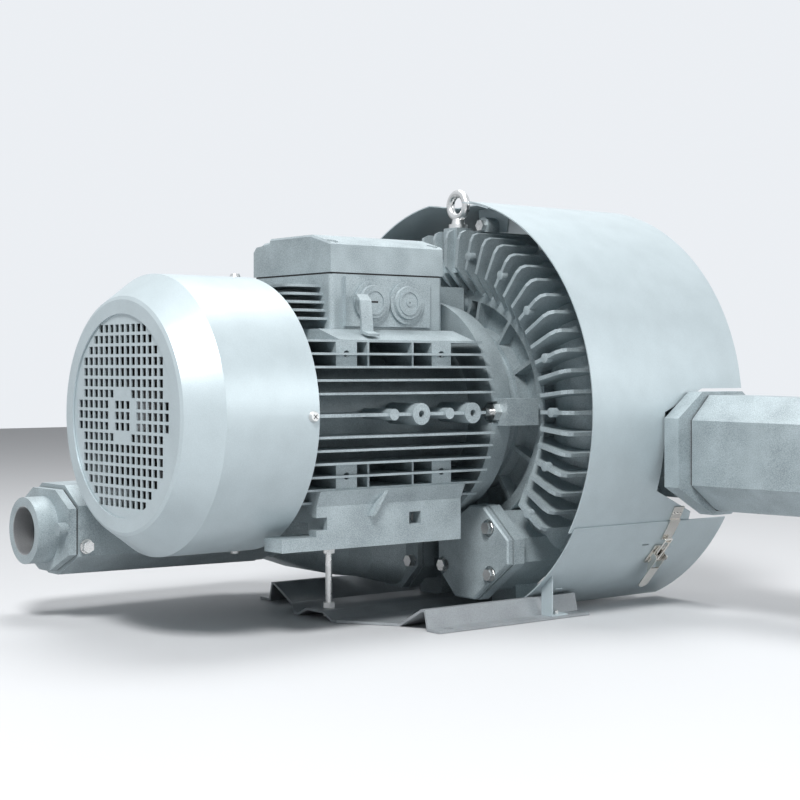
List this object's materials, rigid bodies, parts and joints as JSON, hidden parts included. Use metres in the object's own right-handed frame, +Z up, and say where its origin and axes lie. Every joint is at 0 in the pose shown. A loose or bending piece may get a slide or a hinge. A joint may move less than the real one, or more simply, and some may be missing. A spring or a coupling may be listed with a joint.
{
  "type": "side channel blower",
  "caption": "Two-stage side channel blower with fan-cooled motor, finned ring casing, wrap-round sheet hood with latched apron, and two silencers on a pressed base plate.",
  "frame": {"origin": "on the floor, at the centre of the base plate's four anchor holes", "axes": "+X along the shaft from the motor's fan cowl to the blower, +Y away from the service side, +Z up"},
  "size_m": [0.754, 1.006, 0.5255],
  "materials": {
    "casting_paint": "satin silver-grey paint over a sandy casting",
    "sheet_paint": "smooth satin silver-grey paint on sheet",
    "base_steel": "darker grey paint on pressed sheet",
    "zinc": "bright zinc plate",
    "gasket": "matt black",
    "fan_plastic": "matt black",
    "bare_aluminium": "bare casting",
    "core_steel": "machined",
    "winding": "varnished"
  },
  "bodies": {
    "stator": {"apron_bracket": "sheet_paint", "apron_screw": "zinc", "base_plate": "base_steel", "bearing_drive_end": "core_steel", "bearing_fan_end": "core_steel", "cable_entry_plugs": "casting_paint", "casing_bolts": "zinc", "casing_front": "casting_paint", "casing_middle": "casting_paint", "casing_rear": "casting_paint", "cowl_screws": "zinc", "drive_end_shield": "casting_paint", "earth_bracket": "casting_paint", "fan_cowl": "sheet_paint", "fan_end_shield": "casting_paint", "fan_grille": "sheet_paint", "flange_bolts": "zinc", "foot_bolts": "zinc", "hood_apron": "sheet_paint", "hood_brackets": "sheet_paint", "hood_far": "sheet_paint", "hood_near": "sheet_paint", "inlet_elbow": "casting_paint", "inlet_elbow_gasket": "gasket", "inlet_silencer_body": "casting_paint", "inlet_silencer_gaskets": "gasket", "inlet_thread_flange": "casting_paint", "latch_base": "zinc", "latch_catch": "zinc", "lid_screws": "zinc", "lifting_eye": "zinc", "motor_housing": "casting_paint", "outlet_flange": "casting_paint", "outlet_silencer_body": "casting_paint", "outlet_silencer_gaskets": "gasket", "outlet_thread_flange": "casting_paint", "port_bolts": "zinc", "port_cover": "casting_paint", "port_cover_gasket": "gasket", "stator_core": "core_steel", "stator_windings": "winding", "support_stud": "zinc", "terminal_board": "fan_plastic", "terminal_box_base": "casting_paint", "terminal_box_gasket": "gasket", "terminal_box_lid": "casting_paint"},
    "rotor": {"rotor_shaft": "core_steel", "rotor_core": "core_steel", "cooling_fan": "fan_plastic", "impeller_front": "bare_aluminium", "impeller_rear": "bare_aluminium", "impeller_spacer": "bare_aluminium", "impeller_nut": "zinc"},
    "lever": {"latch_lever": "zinc"},
    "bail": {"latch_bail": "zinc"}
  },
  "joints": [
    {"name": "rotor_spin", "type": "hinge", "parent": "stator", "child": "rotor", "pos_m": [0, 0, 0.246], "axis": [1, 0, 0], "continuous": true},
    {"name": "latch_open", "type": "hinge", "parent": "stator", "child": "lever", "pos_m": [0.216, -0.20506, 0.06457], "axis": [-1, 0, 0], "range_deg": [0, 120]},
    {"name": "bail_swing", "type": "hinge", "parent": "lever", "child": "bail", "pos_m": [0.216, -0.19707, 0.06097], "axis": [-1, 0, 0], "range_deg": [-120, 0]}
  ],
  "couplings": [
    {"joint": "bail_swing", "follows": "latch_open", "ratio": -1}
  ]
}
